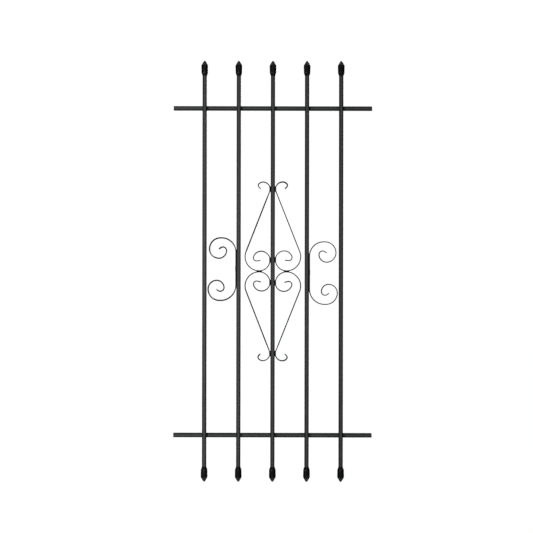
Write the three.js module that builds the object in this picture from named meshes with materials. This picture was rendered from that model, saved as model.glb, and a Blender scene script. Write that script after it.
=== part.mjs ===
// Window security bar: a fixed, welded guard of square steel tube with bent strip scrolls.
// Five pickets are welded on the street side of two rails, which lie against the wall.
// Units are millimetres. +Z is up, -Y faces the street and +Y faces the wall.
// The origin is the middle of the upper rail's wall face.
import * as THREE from 'three';

const INCH = 25.4;

// Driving dimensions of the panel.
const PICKET_COUNT = 5;
const OVERALL_HEIGHT = 54 * INCH;
const RAIL_SPACING = 42 * INCH;
const PICKET_PITCH = 4.375 * INCH;
const RAIL_OVERHANG = 4 * INCH;
// Height of the upper finials' tips above the upper rail's middle.
const TOP_OVERHANG = 6.0625 * INCH;

// Square tube, for pickets and rails alike.
const TUBE = 14;
const TUBE_WALL = 1.2;
const TUBE_CORNER = 1.8;
const CORNER_STEPS = 4;

// Clearance of a spigot in its bore, and between a scroll and what it is tacked to.
const FIT_GAP = 0.3;

// Spear finial, pushed into a picket's open end. Heights are measured from the tube's end.
const FINIAL_HEIGHT = 50.5;
const FINIAL_NECK_TOP = 0.8;
const FINIAL_SHOULDER_TOP = 11;
const FINIAL_BODY_TOP = 34.7;
const FINIAL_SHOULDER_WIDTH = 21.2;
const FINIAL_BODY_WIDTH = 22.2;
const FINIAL_TIP_WIDTH = 4.4;
const FINIAL_CHAMFER_SHARE = 0.293;
const FINIAL_SPIGOT_LENGTH = 20;

// End plug, pushed into a rail's open end.
const PLUG_CAP = 1.6;
const PLUG_CAP_BEVEL = 0.5;
const PLUG_SPIGOT_LENGTH = 14;
const SPIGOT_CHAMFER = 0.9;
const SPIGOT_LEAD_IN = 2;

// Flat strip that the scrolls are bent from.
const STRIP_DEPTH = 0.375 * INCH;
const STRIP_THICKNESS = 0.125 * INCH;
const ARC_TOLERANCE = 0.12;

// Centre scrolls: rise is the height of the hook's touching point above the middle of the
// motif, and reach is the sideways extent of the big loop from the middle picket's axis.
const CENTRE_MOTIF_LIFT = 1.6;
const CENTRE_RIGHT = { rise: 268, reach: 91.1 };
const CENTRE_LEFT = { rise: 267.7, reach: 89.9 };
const CENTRE_BEND_RADIUS = 46;
const HOOK_ROOT_RADIUS = 23.1;
const HOOK_BENDS = [
  { radius: 18, turn: 50 },
  { radius: 7.2, turn: 83 },
  { straight: 8.5 },
];
const CENTRE_CURL_UPPER = [
  { radius: 28.7, turn: 90 },
  { radius: 26.3, turn: 72 },
  { radius: 10.3, turn: 115 },
  { straight: 12 },
];
const CENTRE_CURL_LOWER = [
  { radius: 27.2, turn: 90 },
  { radius: 27.3, turn: 72 },
  { radius: 10.4, turn: 122 },
  { straight: 12 },
];

// C scrolls: a straight spine beside the picket and a curl at each end, tighter at every
// quarter turn. The flat is the short straight that follows the first quarter.
const C_LEFT = { lift: 10.1, flat: 4 };
const C_RIGHT = { lift: -2.3, flat: 4.3 };
const C_HALF_SPINE = 54.3;
const C_UPPER_RADII = [46, 35.7, 30.6, 24.7];
const C_LOWER_RADII = [49.1, 37.1, 28.2, 23.6];
const C_END_RADIUS = 11.9;
const C_END_TURN = 127;
const C_END_STRAIGHT = 7;

// Weld beads.
const FILLET_LEG = 3.2;
const FILLET_LENGTH = 10;
const TACK_HEIGHT = 1.8;
const TACK_OVERHANG = 0.9;
const TACK_LENGTH = 16;
const SPINE_TACK_LENGTH = 24;

// Values that follow from the ones above.
const HALF_TUBE = TUBE / 2;
const RAIL_Y = -HALF_TUBE;
const PICKET_Y = -1.5 * TUBE;
const PICKET_BACK_Y = -TUBE;
const STRIP_BACK_Y = PICKET_Y + STRIP_DEPTH / 2;
const HALF_WIDTH = (PICKET_COUNT - 1) * PICKET_PITCH / 2 + RAIL_OVERHANG;
const PICKET_LENGTH = OVERALL_HEIGHT - 2 * FINIAL_HEIGHT;
const RAIL_TUBE_LENGTH = 2 * (HALF_WIDTH - PLUG_CAP);
const MIDDLE_Z = -RAIL_SPACING / 2;
const SPIGOT_HALF = HALF_TUBE - TUBE_WALL - FIT_GAP;
const STRIP_OFFSET = HALF_TUBE + FIT_GAP + STRIP_THICKNESS / 2;
const LOOP_BOTTOM_Z = (STRIP_THICKNESS + FIT_GAP) / 2;

const STEEL_FINISH = { color: 0x373939, roughness: 0.48, metalness: 0.25 };
const PLASTIC_FINISH = { color: 0x151516, roughness: 0.42, metalness: 0 };
const WELD_FINISH = { color: 0x2b2c2c, roughness: 0.55, metalness: 0.25 };

const guard = new THREE.Group();

function addPiece(name, geometry, finish, position) {
  const piece = new THREE.Mesh(geometry, new THREE.MeshStandardMaterial(finish));
  piece.name = name;
  piece.position.set(position.x, position.y, position.z);
  guard.add(piece);
  return piece;
}

// ---- Square tube -------------------------------------------------------------------

function roundedSquare(size, radius, PathType) {
  const half = size / 2;
  const inner = half - radius;
  const outline = new PathType();
  outline.moveTo(half, -inner);
  outline.absarc(inner, inner, radius, 0, Math.PI / 2);
  outline.absarc(-inner, inner, radius, Math.PI / 2, Math.PI);
  outline.absarc(-inner, -inner, radius, Math.PI, 1.5 * Math.PI);
  outline.absarc(inner, -inner, radius, 1.5 * Math.PI, 2 * Math.PI);
  return outline;
}

// A hollow tube along +Z, centred on the origin.
function tube(length) {
  const section = roundedSquare(TUBE, TUBE_CORNER, THREE.Shape);
  section.holes.push(roundedSquare(TUBE - 2 * TUBE_WALL, TUBE_CORNER - TUBE_WALL, THREE.Path));
  const options = { depth: length, bevelEnabled: false, curveSegments: CORNER_STEPS };
  const geometry = new THREE.ExtrudeGeometry(section, options);
  geometry.translate(0, 0, -length / 2);
  return geometry;
}

// ---- Lofted pieces: finials, plugs and weld beads ------------------------------------

// Joins rings of equally many points, from the first to the last, and closes both ends.
function loft(rings) {
  const count = rings[0].length;
  const points = rings.flat();
  const triangles = [];
  for (let r = 0; r + 1 < rings.length; r += 1) {
    for (let i = 0; i < count; i += 1) {
      const a = r * count + i;
      const b = r * count + (i + 1) % count;
      triangles.push(a, b, b + count, a, b + count, a + count);
    }
  }
  const last = (rings.length - 1) * count;
  for (let i = 1; i + 1 < count; i += 1) {
    triangles.push(0, i + 1, i);
    triangles.push(last, last + i, last + i + 1);
  }
  const geometry = new THREE.BufferGeometry();
  geometry.setAttribute('position', new THREE.Float32BufferAttribute(points.flat(), 3));
  geometry.setIndex(triangles);
  geometry.computeVertexNormals();
  return geometry;
}

// Eight points, anticlockwise seen from +Z: a square with its corners cut off.
function cutSquareRing(half, chamfer, z) {
  const side = half - chamfer;
  return [
    [half, -side, z],
    [half, side, z],
    [side, half, z],
    [-side, half, z],
    [-half, side, z],
    [-half, -side, z],
    [-side, -half, z],
    [side, -half, z],
  ];
}

function spigotRings(length) {
  const tipHalf = SPIGOT_HALF - SPIGOT_LEAD_IN / 4;
  return [
    cutSquareRing(tipHalf, SPIGOT_CHAMFER, -length),
    cutSquareRing(SPIGOT_HALF, SPIGOT_CHAMFER, SPIGOT_LEAD_IN - length),
    cutSquareRing(SPIGOT_HALF, SPIGOT_CHAMFER, 0),
  ];
}

// A spear point that stands on the tube's end at z = 0, with its spigot below.
function finial() {
  const bodyRing = (width, z) => cutSquareRing(width / 2, width * FINIAL_CHAMFER_SHARE, z);
  return loft([
    ...spigotRings(FINIAL_SPIGOT_LENGTH),
    cutSquareRing(HALF_TUBE, TUBE_CORNER, 0),
    cutSquareRing(HALF_TUBE, TUBE_CORNER, FINIAL_NECK_TOP),
    bodyRing(FINIAL_SHOULDER_WIDTH, FINIAL_SHOULDER_TOP),
    bodyRing(FINIAL_BODY_WIDTH, FINIAL_BODY_TOP),
    bodyRing(FINIAL_TIP_WIDTH, FINIAL_HEIGHT),
  ]);
}

// An end plug whose cap lies on the tube's end at z = 0, with its spigot below.
function railPlug() {
  return loft([
    ...spigotRings(PLUG_SPIGOT_LENGTH),
    cutSquareRing(HALF_TUBE, TUBE_CORNER, 0),
    cutSquareRing(HALF_TUBE, TUBE_CORNER, PLUG_CAP - PLUG_CAP_BEVEL),
    cutSquareRing(HALF_TUBE - PLUG_CAP_BEVEL, TUBE_CORNER, PLUG_CAP),
  ]);
}

// A weld bead along +X: the section, in Y and Z, shrinks to half its size at both ends.
function bead(section, length) {
  const stations = [
    { along: -0.5, size: 0.5 },
    { along: -0.35, size: 1 },
    { along: 0.35, size: 1 },
    { along: 0.5, size: 0.5 },
  ];
  return loft(stations.map((station) => section.map(
    ([y, z]) => [station.along * length, station.size * y, station.size * z],
  )));
}

// The fillet fills the corner between a floor at z = 0 and a wall at y = 0.
function filletBead() {
  const bulge = 0.62 * FILLET_LEG;
  return bead([[0, 0], [FILLET_LEG, 0], [bulge, bulge], [0, FILLET_LEG]], FILLET_LENGTH);
}

// The tack lies on y = 0, runs along Z, and stands up towards +Y.
function tackBead(width, length) {
  const half = width / 2;
  const flank = { x: 0.9 * half, y: 0.6 * TACK_HEIGHT };
  const crown = { x: 0.55 * half, y: TACK_HEIGHT };
  const section = [
    [-half, 0],
    [half, 0],
    [flank.x, flank.y],
    [crown.x, crown.y],
    [-crown.x, crown.y],
    [-flank.x, flank.y],
  ];
  const lengthAlongZ = new THREE.Vector3(0, 0, 1);
  const widthAlongX = new THREE.Vector3(1, 0, 0);
  const heightAlongY = new THREE.Vector3(0, 1, 0);
  const turn = new THREE.Matrix4().makeBasis(lengthAlongZ, widthAlongX, heightAlongY);
  return bead(section, length).applyMatrix4(turn);
}

// ---- Bent strip: scrolls ---------------------------------------------------------------

// Follows a list of straights and bends from a starting point, in the X and Z plane.
// A bend goes clockwise through its turn in degrees, or anticlockwise where it says left.
// Each point keeps the direction of travel.
function followBends(start, startHeading, bends) {
  const points = [{ ...start, heading: startHeading }];
  let { x, z } = start;
  let heading = startHeading;
  for (const { straight, radius, turn, left } of bends) {
    if (straight !== undefined) {
      x += straight * Math.cos(heading);
      z += straight * Math.sin(heading);
      points.push({ x, z, heading });
      continue;
    }
    const arm = left ? radius : -radius;
    const pivotX = x - arm * Math.sin(heading);
    const pivotZ = z + arm * Math.cos(heading);
    const fullTurn = Math.sign(arm) * THREE.MathUtils.degToRad(turn);
    const stepAngle = 2 * Math.acos(1 - ARC_TOLERANCE / radius);
    const steps = Math.ceil(Math.abs(fullTurn) / stepAngle);
    const startAngle = heading;
    for (let i = 1; i <= steps; i += 1) {
      heading = startAngle + fullTurn * i / steps;
      x = pivotX + arm * Math.sin(heading);
      z = pivotZ - arm * Math.cos(heading);
      points.push({ x, z, heading });
    }
  }
  return points;
}

// The same points walked the other way.
function reversed(points) {
  return points.map((point) => ({ ...point, heading: point.heading + Math.PI })).reverse();
}

// Mirrors across the vertical plane, the horizontal plane, or both.
function mirrored(points, signX, signZ) {
  return points.map(({ x, z, heading }) => ({
    x: signX * x,
    z: signZ * z,
    heading: Math.atan2(signZ * Math.sin(heading), signX * Math.cos(heading)),
  }));
}

// A strip of constant thickness along the points, standing on edge: its depth is along Y.
function strip(points) {
  const halfThickness = STRIP_THICKNESS / 2;
  const side = (sign) => points.map(({ x, z, heading }) => new THREE.Vector2(
    x - sign * halfThickness * Math.sin(heading),
    z + sign * halfThickness * Math.cos(heading),
  ));
  const outline = new THREE.Shape([...side(1), ...side(-1).reverse()]);
  const geometry = new THREE.ExtrudeGeometry(outline, { depth: STRIP_DEPTH, bevelEnabled: false });
  geometry.rotateX(Math.PI / 2);
  geometry.translate(0, STRIP_DEPTH / 2, 0);
  return geometry;
}

// The straight diagonal of a centre scroll is tangent to the hook's root bend and to the
// big bend. Its length and its lean follow from where those two bends have to lie.
function centreDiagonal({ rise, reach }) {
  const sideways = reach - STRIP_OFFSET - HOOK_ROOT_RADIUS - CENTRE_BEND_RADIUS;
  const down = rise - CENTRE_BEND_RADIUS - LOOP_BOTTOM_Z;
  const radii = HOOK_ROOT_RADIUS + CENTRE_BEND_RADIUS;
  const length = Math.sqrt(sideways ** 2 + down ** 2 - radii ** 2);
  const lean = Math.atan2(sideways, down) + Math.atan2(radii, length);
  return { length, lean: THREE.MathUtils.radToDeg(lean) };
}

function centreLoopRadius({ reach }) {
  return reach - CENTRE_BEND_RADIUS - STRIP_OFFSET;
}

// The upper right centre scroll, from the tip of its hook to the end of its curl.
function centreScrollPath(hand, curl) {
  const { length, lean } = centreDiagonal(hand);
  const touch = { x: STRIP_OFFSET, z: hand.rise };
  const hook = followBends(touch, Math.PI / 2, [
    { radius: HOOK_ROOT_RADIUS, turn: 90 },
    ...HOOK_BENDS,
  ]);
  const loop = followBends(touch, -Math.PI / 2, [
    { radius: HOOK_ROOT_RADIUS, turn: lean, left: true },
    { straight: length },
    { radius: CENTRE_BEND_RADIUS, turn: lean + 90 },
    { radius: centreLoopRadius(hand), turn: 90 },
    ...curl,
  ]);
  return [...reversed(hook), ...loop.slice(1)];
}

// The upper half of a right-hand C scroll, from the middle of its spine outwards.
function cHalfPath(radii, flat) {
  const [firstRadius, ...otherRadii] = radii;
  return followBends({ x: STRIP_OFFSET, z: 0 }, Math.PI / 2, [
    { straight: C_HALF_SPINE },
    { radius: firstRadius, turn: 90 },
    { straight: flat },
    ...otherRadii.map((radius) => ({ radius, turn: 90 })),
    { radius: C_END_RADIUS, turn: C_END_TURN },
    { straight: C_END_STRAIGHT },
  ]);
}

function cScrollPath(flat) {
  const upper = cHalfPath(C_UPPER_RADII, flat);
  const lower = mirrored(cHalfPath(C_LOWER_RADII, flat), 1, -1);
  return [...reversed(upper).slice(0, -1), ...lower.slice(1)];
}

// ---- Assembly ------------------------------------------------------------------------

function picketX(index) {
  return (index - (PICKET_COUNT - 1) / 2) * PICKET_PITCH;
}

function addPickets() {
  const topZ = TOP_OVERHANG - FINIAL_HEIGHT;
  const bottomZ = topZ - PICKET_LENGTH;
  for (let i = 0; i < PICKET_COUNT; i += 1) {
    const x = picketX(i);
    const number = i + 1;
    const middle = { x, y: PICKET_Y, z: (topZ + bottomZ) / 2 };
    addPiece(`picket_${number}`, tube(PICKET_LENGTH), STEEL_FINISH, middle);
    addPiece(`finial_top_${number}`, finial(), PLASTIC_FINISH, { x, y: PICKET_Y, z: topZ });
    const lower = { x, y: PICKET_Y, z: bottomZ };
    addPiece(`finial_bottom_${number}`, finial(), PLASTIC_FINISH, lower).rotation.x = Math.PI;
  }
}

function addRail(level, z) {
  const rail = addPiece(`rail_${level}`, tube(RAIL_TUBE_LENGTH), STEEL_FINISH, { x: 0, y: RAIL_Y, z });
  rail.rotation.y = Math.PI / 2;
  for (const [side, sign] of [['left', -1], ['right', 1]]) {
    const end = { x: sign * RAIL_TUBE_LENGTH / 2, y: RAIL_Y, z };
    const plug = addPiece(`rail_plug_${level}_${side}`, railPlug(), PLASTIC_FINISH, end);
    plug.rotation.y = sign * Math.PI / 2;
  }
}

// Two fillets at each crossing, in the corners between the picket's back and the rail.
function addCrossingWelds(level, z) {
  for (let i = 0; i < PICKET_COUNT; i += 1) {
    const above = { x: picketX(i), y: PICKET_BACK_Y, z: z + HALF_TUBE };
    const below = { x: picketX(i), y: PICKET_BACK_Y, z: z - HALF_TUBE };
    addPiece(`weld_${level}_${i + 1}_above`, filletBead(), WELD_FINISH, above);
    const under = filletBead();
    under.rotateX(-Math.PI / 2);
    addPiece(`weld_${level}_${i + 1}_below`, under, WELD_FINISH, below);
  }
}

function addTack(name, x, z, width, length) {
  addPiece(name, tackBead(width, length), WELD_FINISH, { x, y: STRIP_BACK_Y, z });
}

// Four scrolls round the middle picket: hooks outermost, big loops meeting in the middle.
function addCentreMotif() {
  const motifZ = MIDDLE_Z + CENTRE_MOTIF_LIFT;
  const tackWidth = STRIP_THICKNESS + TACK_OVERHANG;
  const tackOffset = HALF_TUBE + FIT_GAP + tackWidth / 2;
  for (const [side, signX, hand] of [['left', -1, CENTRE_LEFT], ['right', 1, CENTRE_RIGHT]]) {
    for (const [level, signZ, curl] of [
      ['upper', 1, CENTRE_CURL_UPPER],
      ['lower', -1, CENTRE_CURL_LOWER],
    ]) {
      const path = mirrored(centreScrollPath(hand, curl), signX, signZ);
      const middle = { x: 0, y: PICKET_Y, z: motifZ };
      addPiece(`centre_scroll_${level}_${side}`, strip(path), STEEL_FINISH, middle);
      const hookZ = motifZ + signZ * hand.rise;
      const loopZ = motifZ + signZ * (LOOP_BOTTOM_Z + centreLoopRadius(hand));
      addTack(`weld_hook_${level}_${side}`, signX * tackOffset, hookZ, tackWidth, TACK_LENGTH);
      addTack(`weld_loop_${level}_${side}`, signX * tackOffset, loopZ, tackWidth, TACK_LENGTH);
    }
  }
}

// Where an upper and a lower loop touch, one tack lies across both.
function addLoopJoints() {
  const motifZ = MIDDLE_Z + CENTRE_MOTIF_LIFT;
  for (const [side, signX, hand] of [['left', -1, CENTRE_LEFT], ['right', 1, CENTRE_RIGHT]]) {
    const x = signX * (hand.reach - CENTRE_BEND_RADIUS);
    const tack = tackBead(2 * STRIP_THICKNESS + TACK_OVERHANG, TACK_LENGTH);
    tack.rotateY(Math.PI / 2);
    addPiece(`weld_loops_${side}`, tack, WELD_FINISH, { x, y: STRIP_BACK_Y, z: motifZ });
  }
}

function addCScrolls() {
  const tackWidth = STRIP_THICKNESS + TACK_OVERHANG;
  const tackOffset = HALF_TUBE + FIT_GAP + tackWidth / 2;
  for (const [side, sign, hand] of [['left', -1, C_LEFT], ['right', 1, C_RIGHT]]) {
    const x = sign * PICKET_PITCH;
    const z = MIDDLE_Z + hand.lift;
    const path = mirrored(cScrollPath(hand.flat), sign, 1);
    addPiece(`c_scroll_${side}`, strip(path), STEEL_FINISH, { x, y: PICKET_Y, z });
    addTack(`weld_c_scroll_${side}`, x + sign * tackOffset, z, tackWidth, SPINE_TACK_LENGTH);
  }
}

addPickets();
addRail('upper', 0);
addRail('lower', -RAIL_SPACING);
addCrossingWelds('upper', 0);
addCrossingWelds('lower', -RAIL_SPACING);
addCentreMotif();
addLoopJoints();
addCScrolls();

export default guard;
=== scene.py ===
# A fixed window guard: square-tube pickets on two rails, spear finials and bent strip scrolls.
# Everything is in metres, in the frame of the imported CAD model: +Z up, -Y towards the street.
import math
import random

import bmesh
import bpy
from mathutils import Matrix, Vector


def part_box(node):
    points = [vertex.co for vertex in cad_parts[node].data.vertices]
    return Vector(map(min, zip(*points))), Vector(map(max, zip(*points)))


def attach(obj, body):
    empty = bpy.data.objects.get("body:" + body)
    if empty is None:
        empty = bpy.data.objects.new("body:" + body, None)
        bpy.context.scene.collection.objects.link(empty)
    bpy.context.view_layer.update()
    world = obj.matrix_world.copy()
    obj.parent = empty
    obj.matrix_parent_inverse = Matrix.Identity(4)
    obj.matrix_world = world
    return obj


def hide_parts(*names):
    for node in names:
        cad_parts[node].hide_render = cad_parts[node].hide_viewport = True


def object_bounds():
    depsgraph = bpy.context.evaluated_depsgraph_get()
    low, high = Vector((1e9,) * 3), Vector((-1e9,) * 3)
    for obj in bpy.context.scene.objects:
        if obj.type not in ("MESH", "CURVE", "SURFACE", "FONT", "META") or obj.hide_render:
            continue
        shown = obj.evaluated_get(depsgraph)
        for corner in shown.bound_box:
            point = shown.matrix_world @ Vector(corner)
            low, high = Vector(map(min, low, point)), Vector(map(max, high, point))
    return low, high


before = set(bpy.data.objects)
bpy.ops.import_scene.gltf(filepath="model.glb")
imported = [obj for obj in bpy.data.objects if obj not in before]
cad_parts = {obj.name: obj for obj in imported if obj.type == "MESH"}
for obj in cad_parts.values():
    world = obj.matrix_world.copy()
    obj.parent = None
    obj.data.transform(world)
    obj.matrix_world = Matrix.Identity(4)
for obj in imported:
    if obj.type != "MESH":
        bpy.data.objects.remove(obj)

cad_low, cad_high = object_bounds()

MM = 0.001
INCH = 25.4 * MM
PICKETS = range(1, 6)
LEVELS = (("upper", 1), ("lower", -1))
SIDES = (("left", -1), ("right", 1))

# Design values that the boxes of the CAD nodes can't give. They are the CAD model's own.
TUBE_WALL = 1.2 * MM
TUBE_CORNER = 1.8 * MM
FIT_GAP = 0.3 * MM
STRIP_DEPTH = 0.375 * INCH
STRIP_THICKNESS = 0.125 * INCH
CENTRE_MOTIF_LIFT = 1.6 * MM
CENTRE_RISE = {"left": 267.7 * MM, "right": 268 * MM}
CENTRE_REACH = {"left": 89.9 * MM, "right": 91.1 * MM}
CENTRE_BEND_RADIUS = 46 * MM
HOOK_ROOT_RADIUS = 23.1 * MM
C_LIFT = {"left": 10.1 * MM, "right": -2.3 * MM}
C_FLAT = {"left": 4 * MM, "right": 4.3 * MM}
C_HALF_SPINE = 54.3 * MM
C_UPPER_RADII = (46, 35.7, 30.6, 24.7)
C_LOWER_RADII = (49.1, 37.1, 28.2, 23.6)
C_END_RADIUS = 11.9
C_END_TURN = 127
C_END_STRAIGHT = 7 * MM
HOOK_BENDS = [("right", 18 * MM, 50), ("right", 7.2 * MM, 83), ("straight", 8.5 * MM)]
CURL_RADII = {"upper": (28.7 * MM, 26.3 * MM, 10.3 * MM), "lower": (27.2 * MM, 27.3 * MM, 10.4 * MM)}
CURL_TURNS = {"upper": (90, 72, 115), "lower": (90, 72, 122)}
CURL_STRAIGHT = 12 * MM
PLUG_CAP = 1.6 * MM

rail_low, rail_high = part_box("rail_upper")
lower_rail_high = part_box("rail_lower")[1]
HALF_TUBE = (rail_high.z - rail_low.z) / 2
PICKET_Y = (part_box("picket_3")[0].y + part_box("picket_3")[1].y) / 2
PICKET_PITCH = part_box("picket_4")[0].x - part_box("picket_3")[0].x
MIDDLE_Z = (rail_low.z + lower_rail_high.z) / 2
MOTIF_Z = MIDDLE_Z + CENTRE_MOTIF_LIFT
STRIP_OFFSET = HALF_TUBE + FIT_GAP + STRIP_THICKNESS / 2
LOOP_BOTTOM_Z = (STRIP_THICKNESS + FIT_GAP) / 2
CRISP_ANGLE = math.radians(38)


# ---- Mesh building -------------------------------------------------------------------

def lofted(name, rings, material, nodes=(), edges=None, ring_loop=False):
    """A closed skin over rings of equally many points. With ring_loop the last ring joins
    the first, as in a hollow tube, and otherwise both ends are closed by a face. edges
    holds, for each point of a ring, how close it lies to a corner, from 0 to 1."""
    mesh = bpy.data.meshes.new(name)
    bm = bmesh.new()
    corner_layer = bm.verts.layers.float.new("corner")
    count = len(rings[0])
    rows = []
    for ring in rings:
        row = [bm.verts.new(point) for point in ring]
        for i, vert in enumerate(row):
            vert[corner_layer] = edges[i] if edges else 0.0
        rows.append(row)
    pairs = list(zip(rows, rows[1:])) + ([(rows[-1], rows[0])] if ring_loop else [])
    for lower, upper in pairs:
        for i in range(count):
            j = (i + 1) % count
            bm.faces.new((lower[i], lower[j], upper[j], upper[i]))
    if not ring_loop:
        bm.faces.new(reversed(rows[0]))
        bm.faces.new(rows[-1])
    return as_piece(name, mesh, bm, material, nodes)


def as_piece(name, mesh, bm, material, nodes):
    bmesh.ops.recalc_face_normals(bm, faces=bm.faces)
    for face in bm.faces:
        face.smooth = True
    for edge in bm.edges:
        edge.smooth = edge.calc_face_angle(0) < CRISP_ANGLE
    bm.to_mesh(mesh)
    bm.free()
    piece = bpy.data.objects.new(name, mesh)
    bpy.context.scene.collection.objects.link(piece)
    piece.data.materials.append(material)
    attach(piece, "root")
    if nodes:
        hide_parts(*nodes)
    return piece


def arc(centre, radius, start, end, steps):
    """Points on an arc in a section's plane, from the start angle to the end angle."""
    angles = [start + (end - start) * i / steps for i in range(steps + 1)]
    return [(centre[0] + radius * math.cos(a), centre[1] + radius * math.sin(a)) for a in angles]


def spread(start, end, steps):
    """Evenly spaced values from start to end, both included."""
    return [start + (end - start) * i / steps for i in range(steps + 1)]


# ---- Square tube ---------------------------------------------------------------------

CORNER_STEPS = 8
CORNER_SUPPORT = 3.3 * MM
RIM_EASE = 0.25 * MM
TUBE_STATION = 40 * MM


def rounded_square(half, radius):
    inner = half - radius
    points = []
    for quarter in range(4):
        start = quarter * math.pi / 2
        middle = start + math.pi / 4
        centre = (math.copysign(inner, math.cos(middle)), math.copysign(inner, math.sin(middle)))
        corner = arc(centre, radius, start, start + math.pi / 2, CORNER_STEPS)
        step = Vector((math.cos(start + math.pi), math.sin(start + math.pi)))
        flat_start = Vector(corner[-1]) + step * CORNER_SUPPORT
        flat_end = Vector(corner[-1]) + step * (2 * inner - CORNER_SUPPORT)
        points += [Vector(point) for point in corner] + [flat_start, flat_end]
    return points


SQUARE_EDGES = ([1.0] * (CORNER_STEPS + 1) + [0.0, 0.0]) * 4


def square_tube(name, node, along, material):
    """A hollow square tube in the box of its CAD node, open at both ends, edges eased."""
    low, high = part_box(node)
    middle = (low + high) / 2
    start, end = (low.z, high.z) if along == "z" else (low.x, high.x)
    bore_half = HALF_TUBE - TUBE_WALL
    bore_corner = TUBE_CORNER - TUBE_WALL

    def ring(position, half, corner):
        section = rounded_square(half, corner)
        if along == "z":
            return [Vector((middle.x + a, middle.y + b, position)) for a, b in section]
        return [Vector((position, middle.y + a, middle.z + b)) for a, b in section]

    stations = max(2, round((end - start) / TUBE_STATION))
    eased = HALF_TUBE - RIM_EASE, TUBE_CORNER - RIM_EASE / 2
    widened = bore_half + RIM_EASE / 2, bore_corner + RIM_EASE / 2
    rings = [ring(start, *eased)]
    rings += [ring(p, HALF_TUBE, TUBE_CORNER) for p in spread(start + RIM_EASE, end - RIM_EASE, stations)]
    rings += [ring(end, *eased), ring(end, *widened)]
    rings += [ring(p, bore_half, bore_corner) for p in (end - RIM_EASE, start + RIM_EASE)]
    rings += [ring(start, *widened)]
    return lofted(name, rings, material, [node], SQUARE_EDGES, ring_loop=True)


# ---- Moulded finials and plugs -------------------------------------------------------

SOFT_STEPS = 4
RIDGE_HALF = 0.3 * MM
FINIAL_CUT_SHARE = 0.293
SPIGOT_CLEARANCE = 0.3 * MM
SPIGOT_CUT = 0.9 * MM
SPIGOT_SOFT = 0.5 * MM
SPIGOT_TAPER = 0.5 * MM
SPIGOT_EASE = 0.3 * MM
LEAD_IN = 2 * MM
CRUSH_RIB = 0.22 * MM
CRUSH_RIB_START = 3 * MM
CRUSH_RIB_STOP = 1.2 * MM
PARTING_RIDGE = 0.1 * MM
NECK_BEVEL = 0.3 * MM
FINIAL_SOFT = 1.1 * MM


def moulded_section(half, cut, soft, ridge_x=0.0, ridge_y=0.0):
    """A square with cut corners whose eight edges are rounded. Each of the four sides has
    a thin ridge along its middle: the mould's parting line, or a crush rib on a spigot."""
    side = half - cut
    corners = [Vector(c) for c in (
        (half, -side), (half, side), (side, half), (-side, half),
        (-half, side), (-half, -side), (-side, -half), (side, -half))]
    points = []
    for i, corner in enumerate(corners):
        before, after = corners[i - 1], corners[(i + 1) % 8]
        reach = min(soft, 0.42 * (before - corner).length, 0.42 * (after - corner).length)
        first = corner + (before - corner).normalized() * reach
        last = corner + (after - corner).normalized() * reach
        for t in spread(0, 1, SOFT_STEPS):
            points.append(first * (1 - t) ** 2 + corner * 2 * t * (1 - t) + last * t ** 2)
        if i % 2 == 0:
            middle = (corner + after) / 2
            outwards = middle.normalized()
            sideways = (after - corner).normalized()
            height = ridge_x if i % 4 == 0 else ridge_y
            half_ridge = min(RIDGE_HALF, 0.2 * (after - corner).length)
            points += [middle - sideways * half_ridge, middle + outwards * height,
                       middle + sideways * half_ridge]
    return points


def moulded_edges():
    edges = []
    for i in range(8):
        edges += [1.0] * (SOFT_STEPS + 1) + ([0.0] * 3 if i % 2 == 0 else [])
    return edges


def spigot_stations(length):
    """Heights, half widths, corner cuts and rib heights, from the spigot's tip to its root."""
    half = HALF_TUBE - TUBE_WALL - SPIGOT_CLEARANCE
    tip = half - SPIGOT_TAPER
    return [
        (-length, tip - SPIGOT_EASE, SPIGOT_CUT, 0.0),
        (-length + SPIGOT_EASE, tip, SPIGOT_CUT, 0.0),
        (-length + LEAD_IN, half, SPIGOT_CUT, 0.0),
        (-length + CRUSH_RIB_START, half, SPIGOT_CUT, CRUSH_RIB),
        (-CRUSH_RIB_STOP, half, SPIGOT_CUT, CRUSH_RIB),
        (0.0, half, SPIGOT_CUT, 0.0),
    ]


NECK_TOP = 0.8 * MM
SHOULDER_TOP = 11 * MM
BODY_TOP = 34.7 * MM
FINIAL_TIP = 50.5 * MM
FINIAL_SPIGOT = 20 * MM
SHOULDER_HALF = 10.6 * MM
BODY_HALF = 11.1 * MM
TIP_HALF = 2.2 * MM
SHOULDER_SWEEP = math.radians(50)


def finial_half_width(height):
    """Half the width of the spear point at a height above the tube's end."""
    if height <= NECK_TOP:
        return HALF_TUBE
    if height <= SHOULDER_TOP:
        share = (height - NECK_TOP) / (SHOULDER_TOP - NECK_TOP)
        swell = math.sin(share * SHOULDER_SWEEP) / math.sin(SHOULDER_SWEEP)
        return HALF_TUBE + (SHOULDER_HALF - HALF_TUBE) * swell
    if height <= BODY_TOP:
        share = (height - SHOULDER_TOP) / (BODY_TOP - SHOULDER_TOP)
        return SHOULDER_HALF + (BODY_HALF - SHOULDER_HALF) * share
    share = (height - BODY_TOP) / (FINIAL_TIP - BODY_TOP)
    return BODY_HALF + (TIP_HALF - BODY_HALF) * share


def finial_heights():
    """Heights of the rings above the tube's end, closest together where the outline turns."""
    return (
        spread(NECK_BEVEL, SHOULDER_TOP, 14)
        + spread(SHOULDER_TOP, BODY_TOP, 14)[1:]
        + spread(BODY_TOP, FINIAL_TIP - TIP_HALF, 12)[1:]
    )


def averaged(function, height, reach):
    """The average of a function a little above and below: it rounds off its turns."""
    samples = spread(height - reach, height + reach, 8)
    return sum(function(h) for h in samples) / len(samples)


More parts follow.
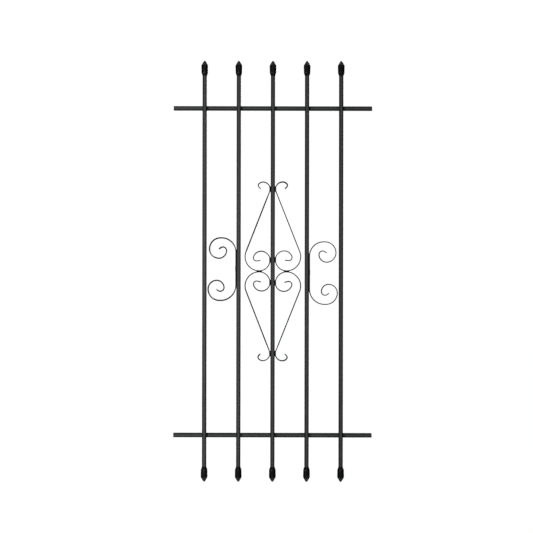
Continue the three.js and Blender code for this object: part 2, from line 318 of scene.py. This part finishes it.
def spear_finial(name, node, points_up, material):
    low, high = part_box(node)
    middle = (low + high) / 2
    rings = []

    def add_ring(height, half, cut, soft, ridge_x=0.0, ridge_y=0.0):
        z = low.z + FINIAL_SPIGOT + height if points_up else high.z - FINIAL_SPIGOT - height
        section = moulded_section(half, cut, soft, ridge_x, ridge_y)
        rings.append([Vector((middle.x + a, middle.y + b, z)) for a, b in section])

    for height, half, cut, rib in spigot_stations(FINIAL_SPIGOT):
        add_ring(height, half, cut, SPIGOT_SOFT, rib, rib)
    add_ring(0.0, HALF_TUBE - NECK_BEVEL, TUBE_CORNER, FINIAL_SOFT)
    for height in finial_heights():
        half = averaged(finial_half_width, height, NECK_TOP)
        widening = min(1.0, max(0.0, (height - NECK_TOP) / (SHOULDER_TOP - NECK_TOP) * 2))
        cut = TUBE_CORNER + (2 * half * FINIAL_CUT_SHARE - TUBE_CORNER) * widening
        add_ring(height, half, cut, FINIAL_SOFT, PARTING_RIDGE * widening)
    for share in (0.35, 0.7, 0.92, 1.0):
        half = TIP_HALF * (1.0 - 0.8 * share ** 2)
        height = FINIAL_TIP - TIP_HALF * (1 - share)
        add_ring(height, half, 2 * half * FINIAL_CUT_SHARE, half / 3)
    return lofted(name, rings, material, [node], moulded_edges())


PLUG_SOFT = 1.1 * MM
PLUG_FOOT = 0.2 * MM
PLUG_WALL_TOP = 0.85 * MM
PLUG_INSET = 0.7 * MM
PLUG_ROUND = 0.6 * MM
PLUG_CROWN = 0.12 * MM


def rail_plug(name, node, sign, material):
    low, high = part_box(node)
    middle = (low + high) / 2
    spigot = high.x - low.x - PLUG_CAP
    seat = high.x - PLUG_CAP if sign > 0 else low.x + PLUG_CAP
    rings = []

    def add_ring(height, half, cut, soft, rib=0.0):
        x = seat + sign * height
        section = moulded_section(half, cut, soft, rib, rib)
        rings.append([Vector((x, middle.y + a, middle.z + b)) for a, b in section])

    for height, half, cut, rib in spigot_stations(spigot):
        add_ring(height, half, cut, SPIGOT_SOFT, rib)
    add_ring(0.0, HALF_TUBE - PLUG_FOOT, TUBE_CORNER, PLUG_SOFT)
    add_ring(PLUG_FOOT, HALF_TUBE, TUBE_CORNER, PLUG_SOFT)
    for angle in spread(0, 80, 4):
        inset = (1 - math.cos(math.radians(angle))) * PLUG_INSET
        rise = math.sin(math.radians(angle)) * PLUG_ROUND
        add_ring(PLUG_WALL_TOP + rise, HALF_TUBE - inset, TUBE_CORNER, PLUG_SOFT)
    for share in (0.75, 0.5, 0.25, 0.04):
        height = PLUG_CAP - PLUG_CROWN * share ** 2
        add_ring(height, share * (HALF_TUBE - PLUG_INSET), share * TUBE_CORNER, share * PLUG_SOFT)
    return lofted(name, rings, material, [node], moulded_edges())


# ---- Bent strip ----------------------------------------------------------------------

ARC_STEP = math.radians(4)
STRIP_EASE = 0.55 * MM
STRIP_EASE_STEPS = 4
STRIP_END_EASE = 0.35 * MM
STRAIGHT_STEP = 6 * MM


def follow_bends(x, z, heading, bends):
    """Points and headings along straights, given as ("straight", length), and clockwise or
    anticlockwise bends, given as ("right" or "left", radius, degrees)."""
    points = [(x, z, heading)]
    for kind, size, *turn in bends:
        if kind == "straight":
            steps = max(1, round(size / STRAIGHT_STEP))
            for _ in range(steps):
                x += size / steps * math.cos(heading)
                z += size / steps * math.sin(heading)
                points.append((x, z, heading))
            continue
        arm = size if kind == "left" else -size
        pivot_x = x - arm * math.sin(heading)
        pivot_z = z + arm * math.cos(heading)
        full_turn = math.copysign(math.radians(turn[0]), arm)
        steps = math.ceil(abs(full_turn) / ARC_STEP)
        first = heading
        for i in range(1, steps + 1):
            heading = first + full_turn * i / steps
            x = pivot_x + arm * math.sin(heading)
            z = pivot_z - arm * math.cos(heading)
            points.append((x, z, heading))
    return points


def backwards(points):
    return [(x, z, heading + math.pi) for x, z, heading in reversed(points)]


def mirrored(points, sign_x, sign_z):
    return [(sign_x * x, sign_z * z, math.atan2(sign_z * math.sin(h), sign_x * math.cos(h)))
            for x, z, h in points]


def strip_section(shrink):
    """Thickness and depth of the strip's section, with its rolled edges rounded."""
    half_u, half_v = STRIP_THICKNESS / 2 - shrink, STRIP_DEPTH / 2 - shrink
    radius = max(STRIP_EASE - shrink / 2, 0.1 * MM)
    points = []
    for quarter in range(4):
        start = quarter * math.pi / 2
        middle = start + math.pi / 4
        centre = (math.copysign(half_u - radius, math.cos(middle)),
                  math.copysign(half_v - radius, math.sin(middle)))
        points += arc(centre, radius, start, start + math.pi / 2, STRIP_EASE_STEPS)
        if quarter % 2 == 1:
            points.append((math.copysign(half_u, math.cos(start + math.pi)), 0.0))
    return points


def strip_edges():
    corner = [1.0] * (STRIP_EASE_STEPS + 1)
    return (corner * 2 + [0.0]) * 2


def bent_strip(name, node, path, twists, origin_x, origin_z, material):
    """A strip of flat bar on edge along a path, with its sheared ends slightly eased. The
    twists, in radians, turn the section about the path."""
    full = strip_section(0.0)
    small = strip_section(STRIP_END_EASE)

    def ring(point, twist, section, back=0.0):
        x, z, heading = point
        cos, sin = math.cos(twist), math.sin(twist)
        across = Vector((-math.sin(heading), 0, math.cos(heading)))
        travel = Vector((math.cos(heading), 0, math.sin(heading)))
        centre = Vector((origin_x + x, PICKET_Y, origin_z + z)) + travel * back
        deep = Vector((0, 1, 0))
        return [centre + across * (u * cos - v * sin) + deep * (u * sin + v * cos) for u, v in section]

    rings = [ring(path[0], twists[0], small), ring(path[0], twists[0], full, STRIP_END_EASE)]
    rings += [ring(point, twist, full) for point, twist in list(zip(path, twists))[1:-1]]
    rings += [ring(path[-1], twists[-1], full, -STRIP_END_EASE), ring(path[-1], twists[-1], small)]
    return lofted(name, rings, material, [node], strip_edges())


def centre_loop_radius(side):
    return CENTRE_REACH[side] - CENTRE_BEND_RADIUS - STRIP_OFFSET


def centre_path(side, level):
    """The upper right centre scroll's path, for one side's rise and reach and one level's
    curl, from the tip of the hook to the end of the curl."""
    rise, reach = CENTRE_RISE[side], CENTRE_REACH[side]
    radii = HOOK_ROOT_RADIUS + CENTRE_BEND_RADIUS
    sideways = reach - STRIP_OFFSET - radii
    down = rise - CENTRE_BEND_RADIUS - LOOP_BOTTOM_Z
    diagonal = math.sqrt(sideways ** 2 + down ** 2 - radii ** 2)
    lean = math.degrees(math.atan2(sideways, down) + math.atan2(radii, diagonal))
    curl = [("right", *bend) for bend in zip(CURL_RADII[level], CURL_TURNS[level])]
    hook = follow_bends(STRIP_OFFSET, rise, math.pi / 2, [
        ("right", HOOK_ROOT_RADIUS, 90), *HOOK_BENDS])
    loop = follow_bends(STRIP_OFFSET, rise, -math.pi / 2, [
        ("left", HOOK_ROOT_RADIUS, lean), ("straight", diagonal),
        ("right", CENTRE_BEND_RADIUS, lean + 90), ("right", centre_loop_radius(side), 90),
        *curl, ("straight", CURL_STRAIGHT)])
    return backwards(hook) + loop[1:]


# Degrees that each strip is twisted in its hook, down its diagonal and in its loop. They are
#  given for each stretch, and the CAD strips have none.
HOOK_TWIST = {"upper": {"left": 2, "right": -9}, "lower": {"left": 8, "right": 7}}
DIAGONAL_TWIST = {"upper": {"left": 9, "right": 0}, "lower": {"left": 6, "right": 6}}
LOOP_TWIST = {"upper": {"left": 0, "right": 0}, "lower": {"left": 3, "right": 5}}
C_TWIST = {"left": 9, "right": 2}
TWIST_RAMP = 45 * MM
DIAGONAL_FOOT = 42 * MM
DIAGONAL_BLEND = 35 * MM


def eased_share(value):
    share = max(0.0, min(1.0, value))
    return share * share * (3 - 2 * share)


def twist_away(point, contacts, degrees):
    """A strip is square to the panel where it is welded and twisted further along."""
    x, z, _ = point
    nearest = min(math.hypot(x - contact_x, z - contact_z) for contact_x, contact_z in contacts)
    return math.radians(degrees) * eased_share(nearest / TWIST_RAMP)


def centre_degrees(z, side, level):
    if z > CENTRE_RISE[side]:
        return HOOK_TWIST[level][side]
    loop, diagonal = LOOP_TWIST[level][side], DIAGONAL_TWIST[level][side]
    return loop + (diagonal - loop) * eased_share((z - DIAGONAL_FOOT) / DIAGONAL_BLEND)


def centre_twists(path, side, level):
    loop = centre_loop_radius(side)
    contacts = [(STRIP_OFFSET, CENTRE_RISE[side]), (STRIP_OFFSET, LOOP_BOTTOM_Z + loop),
                (CENTRE_REACH[side] - CENTRE_BEND_RADIUS, LOOP_BOTTOM_Z)]
    return [twist_away(point, contacts, centre_degrees(point[1], side, level)) for point in path]


def c_twists(path, side):
    def spine_point(z):
        return STRIP_OFFSET, max(-C_HALF_SPINE, min(C_HALF_SPINE, z))

    return [twist_away(point, [spine_point(point[1])], C_TWIST[side]) for point in path]


def c_path(side):
    """The right-hand C scroll's path, from the end of its upper curl to its lower curl's."""
    def half(radii):
        first, *others = radii
        return follow_bends(STRIP_OFFSET, 0.0, math.pi / 2, [
            ("straight", C_HALF_SPINE), ("right", first * MM, 90), ("straight", C_FLAT[side]),
            *[("right", radius * MM, 90) for radius in others],
            ("right", C_END_RADIUS * MM, C_END_TURN), ("straight", C_END_STRAIGHT)])

    upper = half(C_UPPER_RADII)
    lower = mirrored(half(C_LOWER_RADII), 1, -1)
    return backwards(upper)[:-1] + lower[1:]


# ---- Weld beads ----------------------------------------------------------------------

RIPPLE = 1.25 * MM
EMBED = 0.15 * MM
BEAD_STEPS = 44
FILLET_BOW = 0.8 * MM
TACK_BOW = 0.9 * MM
WEDGE_HOLLOW = 0.5 * MM
WEDGE_HOLLOW_AT_ENDS = 1.6 * MM
WEDGE_BACK = 0.4 * MM
WEDGE_DIP = 0.5 * MM
WEDGE_REACH = 9 * MM
SPINE_WEDGE_OVERRUN = 8 * MM


def bead_size(share, distance, bow, phase):
    """How full a bead is at a share of its length: rippled, with rounded ends."""
    rounded = (1 - abs(2 * share - 1) ** 3) ** 0.5
    ripple = abs(math.sin(math.pi * (distance - bow) / RIPPLE + phase))
    return max(0.05, rounded) * (0.9 + 0.1 * ripple)


def fillet_weld(name, node, above, material, luck):
    """A fillet in the corner between a picket's back and the rail's top or bottom."""
    low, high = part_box(node)
    leg = high.y - low.y
    length = (high.x - low.x) * luck.uniform(0.9, 1.06)
    start = (low.x + high.x) / 2 - length / 2 + luck.uniform(-0.4, 0.4) * MM
    phase = luck.uniform(0, math.pi)
    fatness = luck.uniform(0.92, 1.0)
    rings = []
    for share in spread(0, 1, BEAD_STEPS):
        ring = [(-EMBED, -EMBED)]
        for angle in spread(0, math.pi / 2, 8):
            bow = FILLET_BOW * math.sin(2 * angle)
            size = bead_size(share, share * length, bow, phase) * fatness
            radius = leg * size * (1 - 0.12 * math.sin(2 * angle))
            ring.append((radius * math.cos(angle) - EMBED, radius * math.sin(angle) - EMBED))
        x = start + share * length
        if above:
            rings.append([Vector((x, low.y + a, low.z + b)) for a, b in ring])
        else:
            rings.append([Vector((x, low.y + a, high.z - b)) for a, b in ring])
    return lofted(name, rings, material, [node])


def dome_rings(low, high, lengthwise, luck):
    """A tack bead in a box: it lies on the box's street side and stands up towards the wall."""
    long_low, long_high = (low.z, high.z) if lengthwise == "z" else (low.x, high.x)
    wide_low, wide_high = (low.x, high.x) if lengthwise == "z" else (low.z, high.z)
    length, width = long_high - long_low, wide_high - wide_low
    phase = luck.uniform(0, math.pi)
    lean = luck.uniform(-0.1, 0.1)
    rings = []
    for share in spread(0, 1, BEAD_STEPS):
        ring = []
        for angle in spread(0, math.pi, 12):
            bow = TACK_BOW * math.sin(angle)
            size = bead_size(share, share * length, bow, phase)
            across = width / 2 * size * math.cos(angle) + lean * width * math.sin(angle)
            rise = (high.y - low.y) * size * math.sin(angle) ** 0.8
            ring.append(((wide_low + wide_high) / 2 + across, low.y + rise))
        ring.append(((wide_low + wide_high) / 2, low.y - EMBED))
        along = long_low + share * length
        if lengthwise == "z":
            rings.append([Vector((a, y, along)) for a, y in ring])
        else:
            rings.append([Vector((along, y, a)) for a, y in ring])
    return rings


def wedge_rings(reach, gap_at, place):
    """The filler between a picket's face, or a strip, and a strip that bends away from it.
    gap_at gives the gap's two walls at a distance from the touching point."""
    depth = STRIP_DEPTH / 2
    rings = []
    for share in spread(-1, 1, 24):
        near, far = gap_at(share * reach)
        hollow = WEDGE_HOLLOW + WEDGE_HOLLOW_AT_ENDS * abs(share) ** 3
        front, back = PICKET_Y - depth + hollow, PICKET_Y + depth - WEDGE_BACK
        middle = (near + far) / 2
        dip = min(WEDGE_DIP, (far - near) / 2)
        section = [(near, front), (middle, front + dip), (far, front), (far, back),
                   (middle, back - dip), (near, back)]
        rings.append([place(a, y, share * reach) for a, y in section])
    return rings


def add_rings(bm, rings):
    rows = [[bm.verts.new(point) for point in ring] for ring in rings]
    count = len(rows[0])
    for lower, upper in zip(rows, rows[1:]):
        for i in range(count):
            j = (i + 1) % count
            bm.faces.new((lower[i], lower[j], upper[j], upper[i]))
    bm.faces.new(reversed(rows[0]))
    bm.faces.new(rows[-1])


def tack_weld(name, node, lengthwise, wedge, material, luck):
    """A tack across the strip's rear edge, and the filler drawn into the gap in front."""
    low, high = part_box(node)
    mesh = bpy.data.meshes.new(name)
    bm = bmesh.new()
    bm.verts.layers.float.new("corner")
    add_rings(bm, dome_rings(low, high, lengthwise, luck))
    add_rings(bm, wedge)
    return as_piece(name, mesh, bm, material, [node])


def bend_gap(distance, radius_above, radius_below):
    """The gap that a strip leaves at a distance from where it touches."""
    radius = (radius_above if distance > 0 else radius_below) + STRIP_THICKNESS / 2
    return FIT_GAP + radius - math.sqrt(radius ** 2 - distance ** 2)


# ---- Materials -----------------------------------------------------------------------

class Nodes:
    """A node material being wired up: each call adds one node and returns it."""

    def __init__(self, name):
        self.material = bpy.data.materials.new(name)
        self.material.use_nodes = True
        self.tree = self.material.node_tree
        self.shader = self.tree.nodes["Principled BSDF"]
        self.place = self.add("ShaderNodeTexCoord").outputs["Object"]

    def add(self, kind, **settings):
        node = self.tree.nodes.new(kind)
        for key, value in settings.items():
            setattr(node, key, value)
        return node

    def link(self, output, target):
        self.tree.links.new(output, target)

    def noise(self, scale, detail=3.0, roughness=0.55, distortion=0.0):
        node = self.add("ShaderNodeTexNoise")
        self.link(self.place, node.inputs["Vector"])
        for key, value in (("Scale", scale), ("Detail", detail), ("Roughness", roughness),
                           ("Distortion", distortion)):
            node.inputs[key].default_value = value
        return node.outputs["Fac"]

    def cells(self, scale):
        node = self.add("ShaderNodeTexVoronoi", feature="F1")
        self.link(self.place, node.inputs["Vector"])
        node.inputs["Scale"].default_value = scale
        return node.outputs["Distance"]

    def ramp(self, source, stops):
        node = self.add("ShaderNodeValToRGB")
        self.link(source, node.inputs["Fac"])
        elements = node.color_ramp.elements
        while len(elements) < len(stops):
            elements.new(0.5)
        for element, (position, color) in zip(elements, stops):
            element.position = position
            element.color = (*color, 1.0)
        return node.outputs["Color"]

    def remap(self, source, low, high, from_low=0.0, from_high=1.0):
        node = self.add("ShaderNodeMapRange")
        self.link(source, node.inputs["Value"])
        for key, value in (("From Min", from_low), ("From Max", from_high),
                           ("To Min", low), ("To Max", high)):
            node.inputs[key].default_value = value
        return node.outputs["Result"]

    def math(self, operation, first, second):
        node = self.add("ShaderNodeMath", operation=operation)
        for source, socket in ((first, node.inputs[0]), (second, node.inputs[1])):
            if isinstance(source, float):
                socket.default_value = source
            else:
                self.link(source, socket)
        return node.outputs[0]

    def mix(self, factor, first, second):
        node = self.add("ShaderNodeMix", data_type="RGBA")
        self.link(factor, node.inputs["Factor"])
        for source, socket in ((first, node.inputs[6]), (second, node.inputs[7])):
            if isinstance(source, tuple):
                socket.default_value = (*source, 1.0)
            else:
                self.link(source, socket)
        return node.outputs[2]

    def attribute(self, name):
        return self.add("ShaderNodeAttribute", attribute_name=name).outputs["Fac"]

    def bump(self, height, strength, distance, below=None):
        node = self.add("ShaderNodeBump")
        node.inputs["Strength"].default_value = strength
        node.inputs["Distance"].default_value = distance
        self.link(height, node.inputs["Height"])
        if below is not None:
            self.link(below, node.inputs["Normal"])
        return node.outputs["Normal"]


def powder_coat(name, dark, light, roughness, peel):
    """Satin powder coat on steel: cloudy colour, fine grains and orange peel. Its colour is
    darkest at the corners, which is painted shade, and it is least reflective there, with a few faint
    rubbed marks there."""
    m = Nodes(name)
    film = m.ramp(m.noise(9.0, detail=4.0), [(0.32, dark), (0.68, light)])
    grains = m.noise(1500.0, detail=2.0)
    speckled = m.mix(m.remap(grains, 0.0, 0.25, 0.5, 0.8), film, scaled(light, 1.3))
    corner = m.attribute("corner")
    # Painted shade: the base colour is darkened towards the corners of the tubes and strips.
    corner_painted_shade = m.mix(corner, speckled, scaled(dark, 0.12))
    scuffs = m.remap(m.noise(120.0, detail=5.0, roughness=0.65, distortion=0.4), 0.0, 0.18, 0.6, 0.75)
    rubbed = m.math("MULTIPLY", corner, scuffs)
    m.link(m.mix(rubbed, corner_painted_shade, scaled(light, 1.4)), m.shader.inputs["Base Color"])
    sheen_patches = m.remap(m.noise(30.0, detail=3.0), roughness - 0.05, roughness + 0.07, 0.3, 0.7)
    m.link(m.math("ADD", sheen_patches, m.math("MULTIPLY", corner, -0.05)), m.shader.inputs["Roughness"])
    orange_peel = m.bump(m.noise(520.0, detail=2.0, roughness=0.45), peel, 0.00012)
    m.link(m.bump(grains, 0.06, 0.00004, below=orange_peel), m.shader.inputs["Normal"])
    m.link(m.remap(corner, 0.4, 0.12), m.shader.inputs["Specular IOR Level"])
    return m.material


def scaled(color, factor):
    return tuple(factor * channel for channel in color)


def weld_coat():
    """Powder coat pooled over a weld: duller in the valleys, with fine pits and spatter."""
    m = Nodes("weld_coat")
    stops = [(0.3, (0.008, 0.0082, 0.0085)), (0.7, (0.018, 0.0185, 0.0185))]
    film = m.ramp(m.noise(60.0, detail=4.0), stops)
    pits = m.remap(m.cells(1400.0), 1.0, 0.0, 0.0, 0.35)
    m.link(m.mix(m.math("MULTIPLY", pits, 0.4), film, (0.004, 0.004, 0.004)), m.shader.inputs["Base Color"])
    m.link(m.remap(m.noise(200.0), 0.45, 0.65, 0.3, 0.7), m.shader.inputs["Roughness"])
    grain = m.bump(m.noise(900.0, detail=4.0), 0.5, 0.0002)
    m.link(m.bump(pits, 0.3, 0.0001, below=grain), m.shader.inputs["Normal"])
    m.shader.inputs["Specular IOR Level"].default_value = 0.3
    return m.material


def moulded_plastic(name, dark, light, roughness):
    """Deep black moulded plastic: faint flow marks, spark-eroded grain, shinier on edges."""
    m = Nodes(name)
    body = m.ramp(m.noise(70.0, detail=2.0, distortion=1.2), [(0.35, dark), (0.7, light)])
    edge = m.attribute("corner")
    scuff = m.remap(m.noise(260.0, detail=4.0), 0.0, 0.4, 0.5, 0.75)
    m.link(m.mix(m.math("MULTIPLY", edge, scuff), body, scaled(light, 2.2)), m.shader.inputs["Base Color"])
    grain = m.noise(2600.0, detail=2.0)
    gloss = m.remap(grain, roughness - 0.06, roughness + 0.08, 0.3, 0.7)
    m.link(m.math("SUBTRACT", gloss, m.math("MULTIPLY", edge, 0.06)), m.shader.inputs["Roughness"])
    m.link(m.bump(grain, 0.12, 0.00004), m.shader.inputs["Normal"])
    m.shader.inputs["Specular IOR Level"].default_value = 0.28
    return m.material


BAR = powder_coat("bar_powder_coat", (0.042, 0.044, 0.044), (0.055, 0.057, 0.057), 0.40, 0.12)
# Painted shade: the scrolls use the bars' powder coat, painted about three times darker to stand for the
# shade on the thin strips.
SCROLL = powder_coat("scroll_coat_painted_shade", (0.014, 0.0145, 0.015), (0.022, 0.0225, 0.0225), 0.40, 0.3)
WELD = weld_coat()
FINIAL = moulded_plastic("finial_plastic", (0.0042, 0.0042, 0.0045), (0.0065, 0.0065, 0.0068), 0.27)
PLUG = moulded_plastic("plug_plastic", (0.007, 0.007, 0.0075), (0.011, 0.011, 0.0115), 0.46)


# ---- The guard -----------------------------------------------------------------------

def build_bars():
    for number in PICKETS:
        square_tube(f"picket_{number}_tube", f"picket_{number}", "z", BAR)
        spear_finial(f"finial_top_{number}_moulding", f"finial_top_{number}", True, FINIAL)
        spear_finial(f"finial_bottom_{number}_moulding", f"finial_bottom_{number}", False, FINIAL)
    for level, _ in LEVELS:
        square_tube(f"rail_{level}_tube", f"rail_{level}", "x", BAR)
        for side, sign in SIDES:
            node = f"rail_plug_{level}_{side}"
            rail_plug(f"{node}_moulding", node, sign, PLUG)


def build_scrolls():
    for side, sign in SIDES:
        for level, sign_z in LEVELS:
            path = centre_path(side, level)
            twists = centre_twists(path, side, level)
            node = f"centre_scroll_{level}_{side}"
            bent_strip(f"{node}_strip", node, mirrored(path, sign, sign_z), twists, 0.0, MOTIF_Z, SCROLL)
        path = c_path(side)
        twists = c_twists(path, side)
        node = f"c_scroll_{side}"
        centre_x, centre_z = sign * PICKET_PITCH, MIDDLE_Z + C_LIFT[side]
        bent_strip(f"{node}_strip", node, mirrored(path, sign, 1), twists, centre_x, centre_z, SCROLL)


def picket_wedge(picket_x, sign, z, radius_up, radius_down):
    """Filler between a picket's side face and the strip beside it."""
    face = HALF_TUBE - EMBED

    def gap_at(distance):
        return face, HALF_TUBE + bend_gap(distance, radius_up, radius_down) + EMBED

    def place(a, y, along):
        return Vector((picket_x + sign * a, y, z + along))

    return wedge_rings(WEDGE_REACH, gap_at, place)


def build_welds():
    luck = random.Random(54)
    for level, _ in LEVELS:
        for number in PICKETS:
            for where in ("above", "below"):
                node = f"weld_{level}_{number}_{where}"
                fillet_weld(f"{node}_bead", node, where == "above", WELD, luck)
    for side, sign in SIDES:
        for level, sign_z in LEVELS:
            z = MOTIF_Z + sign_z * CENTRE_RISE[side]
            wedge = picket_wedge(0.0, sign, z, HOOK_ROOT_RADIUS, HOOK_ROOT_RADIUS)
            node = f"weld_hook_{level}_{side}"
            tack_weld(f"{node}_bead", node, "z", wedge, WELD, luck)
            loop = centre_loop_radius(side)
            curl = CURL_RADII[level][0]
            radii = (curl, loop) if sign_z > 0 else (loop, curl)
            z = MOTIF_Z + sign_z * (LOOP_BOTTOM_Z + loop)
            node = f"weld_loop_{level}_{side}"
            tack_weld(f"{node}_bead", node, "z", picket_wedge(0.0, sign, z, *radii), WELD, luck)
        build_loop_joint(side, sign, luck)
        build_spine_weld(side, sign, luck)


def build_loop_joint(side, sign, luck):
    """Where an upper and a lower loop touch."""
    touch_x = CENTRE_REACH[side] - CENTRE_BEND_RADIUS
    loop = centre_loop_radius(side)

    def gap_at(distance):
        half = bend_gap(distance, CENTRE_BEND_RADIUS, loop) - FIT_GAP / 2 + EMBED
        return -half, half

    def place(a, y, along):
        return Vector((sign * (touch_x + along), y, MOTIF_Z + a))

    node = f"weld_loops_{side}"
    wedge = wedge_rings(WEDGE_REACH, gap_at, place)
    tack_weld(f"{node}_bead", node, "x", wedge, WELD, luck)


def build_spine_weld(side, sign, luck):
    """The C scroll's spine: filler along its straight and into the gaps at its ends."""
    def gap_at(distance):
        past = max(0.0, abs(distance) - C_HALF_SPINE)
        gap = bend_gap(past, C_UPPER_RADII[0] * MM, C_LOWER_RADII[0] * MM)
        return HALF_TUBE - EMBED, HALF_TUBE + gap + EMBED

    def place(a, y, along):
        return Vector((sign * (PICKET_PITCH + a), y, MIDDLE_Z + C_LIFT[side] + along))

    node = f"weld_c_scroll_{side}"
    wedge = wedge_rings(C_HALF_SPINE + SPINE_WEDGE_OVERRUN, gap_at, place)
    tack_weld(f"{node}_bead", node, "z", wedge, WELD, luck)


# ---- Stage, light and camera ---------------------------------------------------------

SILL_HEIGHT = 0.9
FLOOR_REACH = 40.0
FLOOR_GLOW = 0.62
BACKDROP_STRENGTH = 1.02
FILL_AT_WALLS = 0.05
FILL_OVERHEAD = 0.9
CAMERA_DISTANCE = 4.5
VIEW_WIDTH = 1.7358
PANEL_RIGHT_SHARE = 0.01162
PANEL_DOWN_SHARE = 0.0100


def pale_floor():
    """The guard hangs on a wall, so the floor lies a window sill's height below it."""
    m = Nodes("stage_floor")
    m.link(m.ramp(m.noise(0.6), [(0.3, (0.86, 0.86, 0.86)), (0.7, (0.9, 0.9, 0.9))]),
           m.shader.inputs["Base Color"])
    m.shader.inputs["Roughness"].default_value = 0.9
    m.shader.inputs["Specular IOR Level"].default_value = 0.0
    m.shader.inputs["Emission Color"].default_value = (1.0, 1.0, 1.0, 1.0)
    m.shader.inputs["Emission Strength"].default_value = FLOOR_GLOW
    mesh = bpy.data.meshes.new("stage_floor")
    z = cad_low.z - SILL_HEIGHT
    turns = [(-1, -1), (1, -1), (1, 1), (-1, 1)]
    corners = [(sign_x * FLOOR_REACH, sign_y * FLOOR_REACH, z) for sign_x, sign_y in turns]
    mesh.from_pydata(corners, [], [(0, 1, 2, 3)])
    floor = bpy.data.objects.new("stage_floor", mesh)
    bpy.context.scene.collection.objects.link(floor)
    floor.data.materials.append(m.material)
    floor.visible_diffuse = False
    floor.visible_glossy = False


def soft_light(name, location, target, size, power):
    data = bpy.data.lights.new(name, "AREA")
    data.shape = "DISK"
    data.size = size
    data.energy = power
    light = bpy.data.objects.new(name, data)
    light.location = location
    light.rotation_euler = (Vector(target) - Vector(location)).to_track_quat("-Z", "Y").to_euler()
    bpy.context.scene.collection.objects.link(light)


def studio():
    """White to the camera. To the object, a white ceiling and floor and dim walls."""
    world = bpy.data.worlds.new("studio")
    world.use_nodes = True
    tree = world.node_tree
    tree.nodes.clear()
    direction = tree.nodes.new("ShaderNodeTexCoord")
    split = tree.nodes.new("ShaderNodeSeparateXYZ")
    steepness = tree.nodes.new("ShaderNodeMath")
    steepness.operation = "ABSOLUTE"
    strength = tree.nodes.new("ShaderNodeMapRange")
    strength.interpolation_type = "SMOOTHSTEP"
    for key, value in (("From Min", 0.45), ("From Max", 0.95),
                       ("To Min", FILL_AT_WALLS), ("To Max", FILL_OVERHEAD)):
        strength.inputs[key].default_value = value
    seen = tree.nodes.new("ShaderNodeBackground")
    seen.inputs["Color"].default_value = (1.0, 1.0, 1.0, 1.0)
    seen.inputs["Strength"].default_value = BACKDROP_STRENGTH
    fill = tree.nodes.new("ShaderNodeBackground")
    fill.inputs["Color"].default_value = (0.95, 0.98, 1.0, 1.0)
    path = tree.nodes.new("ShaderNodeLightPath")
    mix = tree.nodes.new("ShaderNodeMixShader")
    output = tree.nodes.new("ShaderNodeOutputWorld")
    tree.links.new(direction.outputs["Generated"], split.inputs["Vector"])
    tree.links.new(split.outputs["Z"], steepness.inputs[0])
    tree.links.new(steepness.outputs[0], strength.inputs["Value"])
    tree.links.new(strength.outputs["Result"], fill.inputs["Strength"])
    tree.links.new(path.outputs["Is Camera Ray"], mix.inputs["Fac"])
    tree.links.new(fill.outputs[0], mix.inputs[1])
    tree.links.new(seen.outputs[0], mix.inputs[2])
    tree.links.new(mix.outputs[0], output.inputs["Surface"])
    bpy.context.scene.world = world
    middle = (0.0, PICKET_Y, MIDDLE_Z)
    soft_light("key_light", (-2.0, -4.0, MIDDLE_Z - 0.1), middle, 0.5, 88.0)
    soft_light("front_light", (-0.45, -4.4, MIDDLE_Z + 0.05), middle, 0.8, 10.0)
    soft_light("back_light", (1.2, 2.6, MIDDLE_Z + 1.3), middle, 1.4, 45.0)
    bpy.context.scene.view_settings.view_transform = "Standard"
    bpy.context.scene.view_settings.look = "None"


def place_camera():
    """Straight on from the street. The panel sits a little right of and below the centre."""
    panel_right = PANEL_RIGHT_SHARE * VIEW_WIDTH
    panel_down = PANEL_DOWN_SHARE * VIEW_WIDTH
    roll = math.radians(0.1)
    data = bpy.data.cameras.new("camera")
    data.sensor_width = 36.0
    data.lens = data.sensor_width * CAMERA_DISTANCE / VIEW_WIDTH
    camera = bpy.data.objects.new("camera", data)
    camera.location = (-panel_right, PICKET_Y - CAMERA_DISTANCE, MIDDLE_Z + panel_down)
    camera.rotation_euler = (math.pi / 2, -roll, 0.0)
    bpy.context.scene.collection.objects.link(camera)
    bpy.context.scene.camera = camera


build_bars()
build_scrolls()
build_welds()
pale_floor()
studio()
place_camera()
